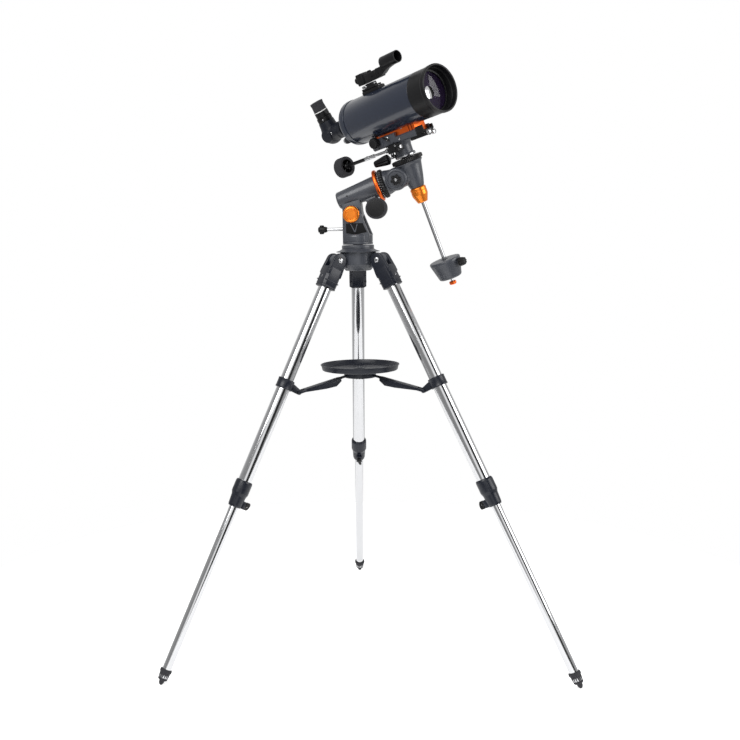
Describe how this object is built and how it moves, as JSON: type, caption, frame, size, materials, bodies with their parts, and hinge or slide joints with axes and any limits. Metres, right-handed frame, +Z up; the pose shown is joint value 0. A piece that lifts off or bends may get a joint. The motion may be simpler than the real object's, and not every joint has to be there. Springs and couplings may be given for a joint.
{
  "type": "telescope on tripod",
  "caption": "Short mirror-lens telescope with star diagonal, eyepiece and sight finder, on a German equatorial mount and a folding steel-tube tripod with an accessory tray.",
  "frame": {"origin": "centre of the footprint on the ground", "axes": "+Z up; +X the way the polar axis leans before the mount is turned; -Y the side the tripod's two front legs stand on"},
  "size_m": [0.9514, 0.827, 1.4148],
  "materials": {
    "grey_paint": "smooth grey paint over a die casting",
    "dark_plastic": "fine-grained moulded plastic, blue-black",
    "black_plastic": "satin black",
    "rubber": "matt rubber",
    "steel": "polished plated steel",
    "leg_steel": "polished steel tube",
    "orange_metal": "orange anodised",
    "orange_paint": "glossy orange",
    "blue_enamel": "glossy dark navy enamel",
    "cast_grey": "grey paint over cast iron",
    "lens_glass": "coated optical glass",
    "mirror_silver": "aluminised glass"
  },
  "bodies": {
    "tripod": {"tripod_hub": "grey_paint", "leg_pivot_bolt_1": "steel", "leg_pivot_bolt_2": "steel", "leg_pivot_bolt_3": "steel"},
    "leg_1": {"leg_bracket_1": "dark_plastic", "leg_upper_tube_1": "leg_steel", "leg_lock_collar_1": "dark_plastic", "spreader_clamp_1": "dark_plastic"},
    "leg_1_lower": {"leg_lower_tube_1": "leg_steel", "leg_foot_1": "rubber"},
    "leg_1_lock": {"leg_lock_knob_1": "black_plastic"},
    "spreader_arm_1": {"spreader_arm_1": "dark_plastic"},
    "leg_2": {"leg_bracket_2": "dark_plastic", "leg_upper_tube_2": "leg_steel", "leg_lock_collar_2": "dark_plastic", "spreader_clamp_2": "dark_plastic"},
    "leg_2_lower": {"leg_lower_tube_2": "leg_steel", "leg_foot_2": "rubber"},
    "leg_2_lock": {"leg_lock_knob_2": "black_plastic"},
    "spreader_arm_2": {"spreader_arm_2": "dark_plastic"},
    "leg_3": {"leg_bracket_3": "dark_plastic", "leg_upper_tube_3": "leg_steel", "leg_lock_collar_3": "dark_plastic", "spreader_clamp_3": "dark_plastic"},
    "leg_3_lower": {"leg_lower_tube_3": "leg_steel", "leg_foot_3": "rubber"},
    "leg_3_lock": {"leg_lock_knob_3": "black_plastic"},
    "spreader_arm_3": {"spreader_arm_3": "dark_plastic"},
    "tray": {"accessory_tray": "dark_plastic"},
    "azimuth": {"azimuth_base": "grey_paint", "latitude_bolt": "orange_metal"},
    "latitude_screw": {"latitude_screw": "steel"},
    "polar": {"polar_housing": "grey_paint", "ra_trim_ring": "orange_paint"},
    "ra_setting_circle": {"ra_setting_circle": "black_plastic"},
    "ra_slow_knob": {"ra_slow_knob": "rubber"},
    "ra_head": {"ra_head": "grey_paint", "shaft_collar": "orange_metal", "counterweight_rod": "steel", "safety_screw": "orange_paint"},
    "ra_lock_knob": {"ra_lock_knob": "black_plastic"},
    "dec_setting_circle": {"dec_setting_circle": "black_plastic"},
    "counterweight": {"counterweight": "cast_grey"},
    "counterweight_knob": {"counterweight_knob": "black_plastic"},
    "dec": {"saddle": "grey_paint"},
    "saddle_knob": {"saddle_knob": "black_plastic"},
    "dec_lock_knob": {"dec_lock_knob": "black_plastic"},
    "dec_slow_knob": {"dec_slow_knob": "rubber"},
    "tube": {"dovetail_bar": "orange_paint", "optical_tube": "blue_enamel", "front_cell": "black_plastic", "corrector_lens": "lens_glass", "rear_cell": "dark_plastic", "finder_base": "black_plastic"},
    "focus_knob": {"focus_knob": "rubber"},
    "primary_mirror": {"primary_mirror": "mirror_silver"},
    "diagonal": {"diagonal": "dark_plastic"},
    "eyepiece": {"eyepiece": "black_plastic"},
    "finder": {"finder_body": "black_plastic"},
    "finder_knob": {"finder_knob": "black_plastic"}
  },
  "joints": [
    {"name": "leg_1_fold", "type": "hinge", "parent": "tripod", "child": "leg_1", "pos_m": [0, -0.07381, 0.94748], "axis": [-1, 0, 0], "range_deg": [0, 7]},
    {"name": "leg_1_slide", "type": "slide", "parent": "leg_1", "child": "leg_1_lower", "axis": [0, 0.454, -0.891], "range_m": [-0.37, 0]},
    {"name": "leg_1_lock_turn", "type": "hinge", "parent": "leg_1", "child": "leg_1_lock", "pos_m": [0, 0.20599, 0.39836], "axis": [0, -0.891, -0.454], "continuous": true},
    {"name": "spreader_arm_1_turn", "type": "hinge", "parent": "leg_1", "child": "spreader_arm_1", "pos_m": [0, 0.03495, 0.64151], "axis": [-1, 0, 0], "range_deg": [0, 26.39]},
    {"name": "leg_2_fold", "type": "hinge", "parent": "tripod", "child": "leg_2", "pos_m": [-0.05196, -0.16381, 0.94748], "axis": [0.5, -0.866, 0], "range_deg": [0, 7]},
    {"name": "leg_2_slide", "type": "slide", "parent": "leg_2", "child": "leg_2_lower", "axis": [-0.3932, -0.227, -0.891], "range_m": [-0.37, 0]},
    {"name": "leg_2_lock_turn", "type": "hinge", "parent": "leg_2", "child": "leg_2_lock", "pos_m": [-0.29427, -0.30371, 0.39836], "axis": [0.7716, 0.4455, -0.454], "continuous": true},
    {"name": "spreader_arm_2_turn", "type": "hinge", "parent": "leg_2", "child": "spreader_arm_2", "pos_m": [-0.14615, -0.21819, 0.64151], "axis": [0.5, -0.866, 0], "range_deg": [0, 26.39]},
    {"name": "leg_3_fold", "type": "hinge", "parent": "tripod", "child": "leg_3", "pos_m": [0.05196, -0.16381, 0.94748], "axis": [0.5, 0.866, 0], "range_deg": [0, 7]},
    {"name": "leg_3_slide", "type": "slide", "parent": "leg_3", "child": "leg_3_lower", "axis": [0.3932, -0.227, -0.891], "range_m": [-0.37, 0]},
    {"name": "leg_3_lock_turn", "type": "hinge", "parent": "leg_3", "child": "leg_3_lock", "pos_m": [0.29427, -0.30371, 0.39836], "axis": [-0.7716, 0.4455, -0.454], "continuous": true},
    {"name": "spreader_arm_3_turn", "type": "hinge", "parent": "leg_3", "child": "spreader_arm_3", "pos_m": [0.14615, -0.21819, 0.64151], "axis": [0.5, 0.866, 0], "range_deg": [0, 26.39]},
    {"name": "tray_rise", "type": "slide", "parent": "tripod", "child": "tray", "axis": [0, 0, 1], "range_m": [0, 0.06089]},
    {"name": "azimuth_turn", "type": "hinge", "parent": "tripod", "child": "azimuth", "pos_m": [0, -0.13381, 0.98278], "axis": [0, 0, 1], "continuous": true},
    {"name": "latitude_screw_turn", "type": "hinge", "parent": "azimuth", "child": "latitude_screw", "pos_m": [-0.03094, -0.12791, 1.02079], "axis": [-0.9823, 0.1874, 0], "continuous": true},
    {"name": "latitude", "type": "hinge", "parent": "azimuth", "child": "polar", "pos_m": [-0.00982, -0.13194, 1.05478], "axis": [-0.1874, -0.9823, 0], "range_deg": [-15, 50]},
    {"name": "ra_circle_turn", "type": "hinge", "parent": "polar", "child": "ra_setting_circle", "pos_m": [0.06962, -0.14709, 1.12705], "axis": [0.9288, -0.1772, 0.3256], "continuous": true},
    {"name": "ra_slow_turn", "type": "hinge", "parent": "polar", "child": "ra_slow_knob", "pos_m": [0.05499, -0.1443, 1.06587], "axis": [-0.1874, -0.9823, 0], "continuous": true},
    {"name": "ra_axis", "type": "hinge", "parent": "polar", "child": "ra_head", "pos_m": [0.12814, -0.15825, 1.14756], "axis": [0.9288, -0.1772, 0.3256], "range_deg": [-100, 85]},
    {"name": "ra_lock_turn", "type": "hinge", "parent": "ra_head", "child": "ra_lock_knob", "pos_m": [0.08949, -0.18209, 1.13119], "axis": [-0.1381, -0.9805, -0.1398], "continuous": true},
    {"name": "dec_circle_turn", "type": "hinge", "parent": "ra_head", "child": "dec_setting_circle", "pos_m": [0.11644, -0.16114, 1.17936], "axis": [-0.344, -0.0849, 0.9351], "continuous": true},
    {"name": "counterweight_slide", "type": "slide", "parent": "ra_head", "child": "counterweight", "axis": [-0.344, -0.0849, 0.9351], "range_m": [-0.006, 0.12]},
    {"name": "counterweight_knob_turn", "type": "hinge", "parent": "counterweight", "child": "counterweight_knob", "pos_m": [0.20863, -0.1384, 0.92874], "axis": [0.7353, -0.6437, 0.2121], "continuous": true},
    {"name": "dec_axis", "type": "hinge", "parent": "ra_head", "child": "dec", "pos_m": [0.12814, -0.15825, 1.14756], "axis": [-0.344, -0.0849, 0.9351], "continuous": true},
    {"name": "saddle_knob_turn", "type": "hinge", "parent": "dec", "child": "saddle_knob", "pos_m": [0.04899, -0.15454, 1.22059], "axis": [-0.6692, -0.6764, -0.3075], "continuous": true},
    {"name": "dec_lock_turn", "type": "hinge", "parent": "dec", "child": "dec_lock_knob", "pos_m": [0.11162, -0.16233, 1.19245], "axis": [-0.8798, 0.3772, -0.2894], "continuous": true},
    {"name": "dec_slow_turn", "type": "hinge", "parent": "dec", "child": "dec_slow_knob", "pos_m": [0.08685, -0.18224, 1.20238], "axis": [-0.6587, 0.7316, -0.1759], "continuous": true},
    {"name": "dovetail_slide", "type": "slide", "parent": "dec", "child": "tube", "axis": [0.6587, -0.7316, 0.1759], "range_m": [-0.02, 0.02]},
    {"name": "focus_turn", "type": "hinge", "parent": "tube", "child": "focus_knob", "pos_m": [-0.01262, -0.09719, 1.235], "axis": [-0.6587, 0.7316, -0.1759], "range_deg": [-1440, 1440]},
    {"name": "mirror_slide", "type": "slide", "parent": "tube", "child": "primary_mirror", "axis": [0.6587, -0.7316, 0.1759], "range_m": [-0.003, 0.003]},
    {"name": "diagonal_turn", "type": "hinge", "parent": "tube", "child": "diagonal", "pos_m": [-0.05626, -0.02582, 1.25751], "axis": [0.6587, -0.7316, 0.1759], "range_deg": [-150, 110]},
    {"name": "eyepiece_turn", "type": "hinge", "parent": "diagonal", "child": "eyepiece", "pos_m": [-0.07719, -0.03507, 1.29741], "axis": [-0.455, -0.201, 0.8675], "continuous": true},
    {"name": "finder_tilt", "type": "hinge", "parent": "tube", "child": "finder", "pos_m": [0.03522, -0.1615, 1.3569], "axis": [0.6692, 0.6764, 0.3075], "range_deg": [-2, 2]},
    {"name": "finder_knob_turn", "type": "hinge", "parent": "finder", "child": "finder_knob", "pos_m": [0.01036, -0.14081, 1.36547], "axis": [-0.6587, 0.7316, -0.1759], "continuous": true}
  ],
  "couplings": [
    {"joint": "spreader_arm_1_turn", "follows": "leg_1_fold", "ratio": 3.742},
    {"joint": "leg_2_fold", "follows": "leg_1_fold", "ratio": 1},
    {"joint": "spreader_arm_2_turn", "follows": "leg_1_fold", "ratio": 3.742},
    {"joint": "leg_3_fold", "follows": "leg_1_fold", "ratio": 1},
    {"joint": "spreader_arm_3_turn", "follows": "leg_1_fold", "ratio": 3.742},
    {"joint": "tray_rise", "follows": "leg_1_fold", "m_per_rad": 0.49428},
    {"joint": "focus_turn", "follows": "mirror_slide", "rad_per_m": 8000}
  ]
}
